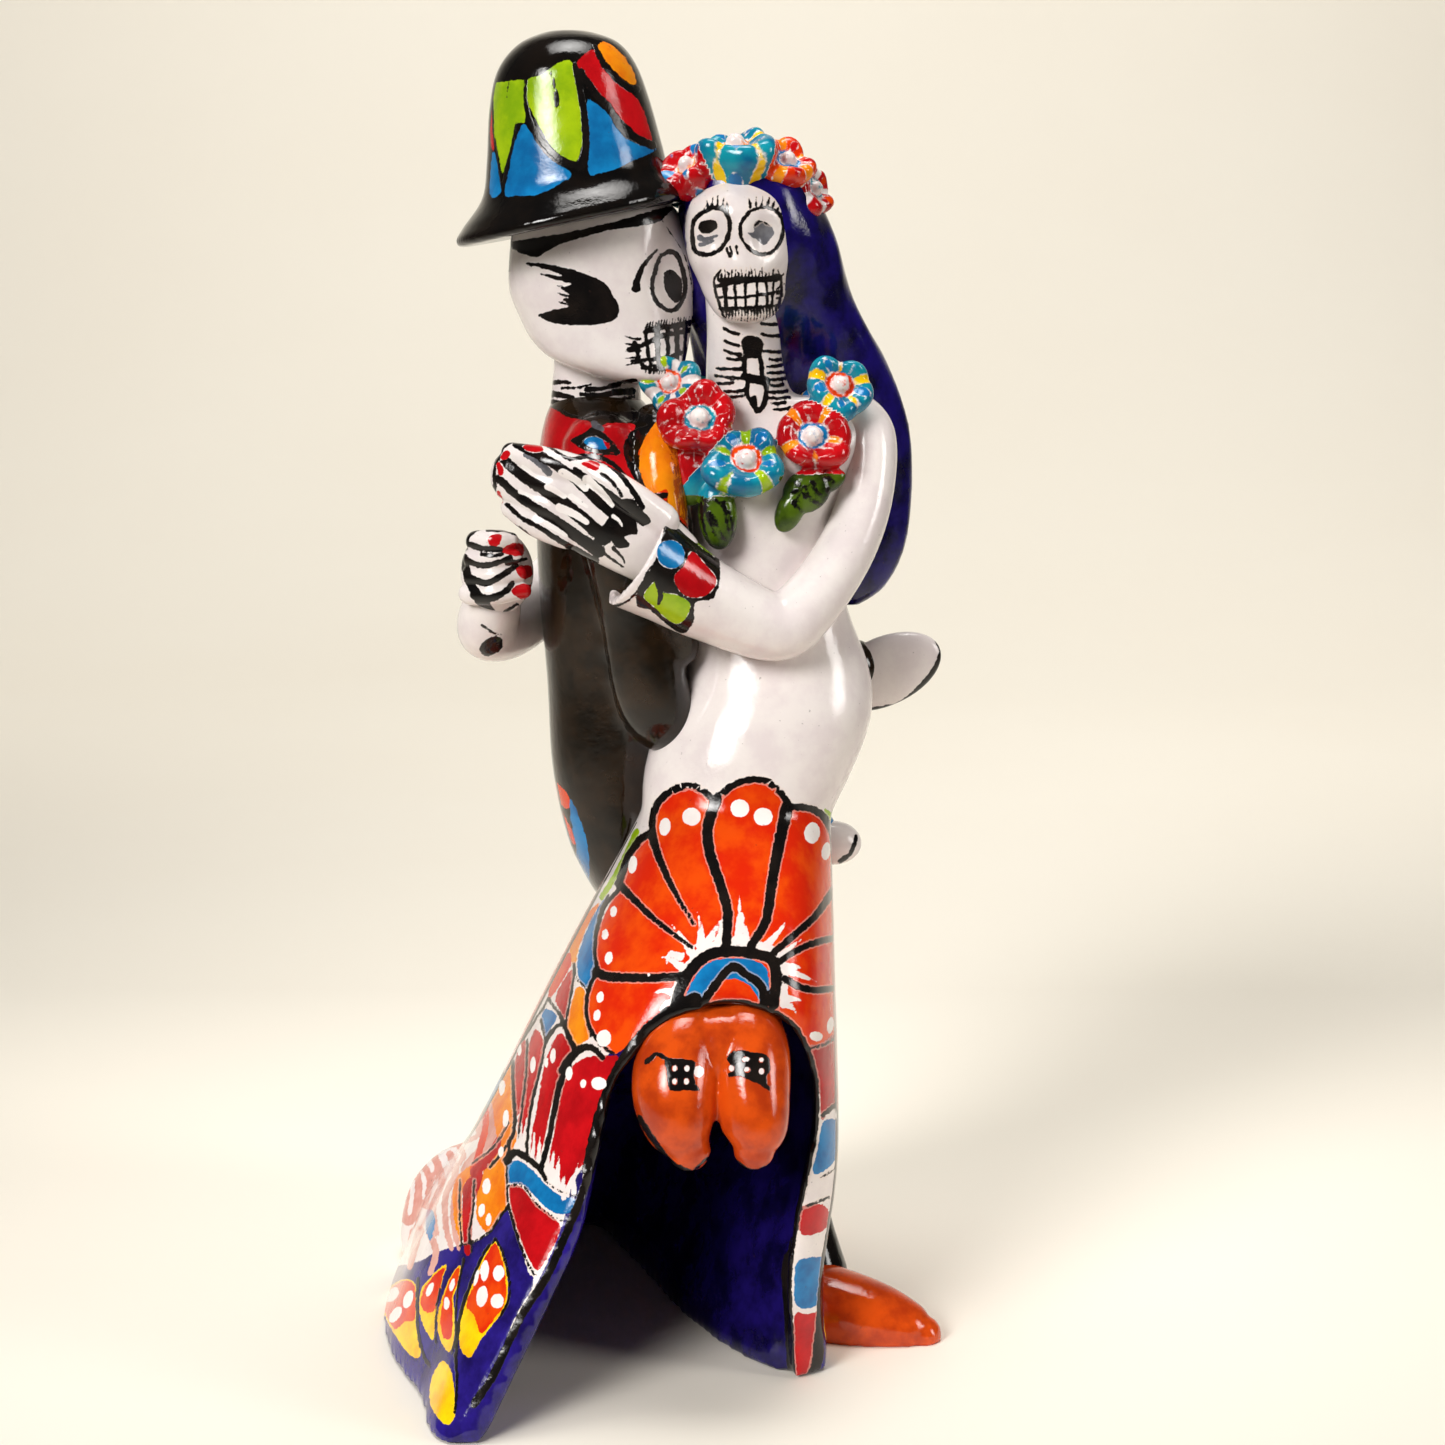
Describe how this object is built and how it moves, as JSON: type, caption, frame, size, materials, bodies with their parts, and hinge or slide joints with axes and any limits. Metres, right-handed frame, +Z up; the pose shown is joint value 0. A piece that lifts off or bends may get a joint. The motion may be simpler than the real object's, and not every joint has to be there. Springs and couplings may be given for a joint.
{
  "type": "catrina bride and groom figurine",
  "caption": "Hand-painted glazed earthenware figurine of a dancing skeleton bride and groom, with a long flared skirt that stands open at the front.",
  "frame": {"origin": "middle of the bounding box's underside, on the surface the figurine stands on", "axes": "+Z up; the bride faces -Y; the groom stands on her -X side and faces +X"},
  "size_m": [0.1291, 0.1359, 0.29],
  "materials": {
    "glazed_earthenware": "glossy clear glaze over painted colours"
  },
  "bodies": {
    "root": {"catrina_couple": "glazed_earthenware"}
  },
  "joints": []
}
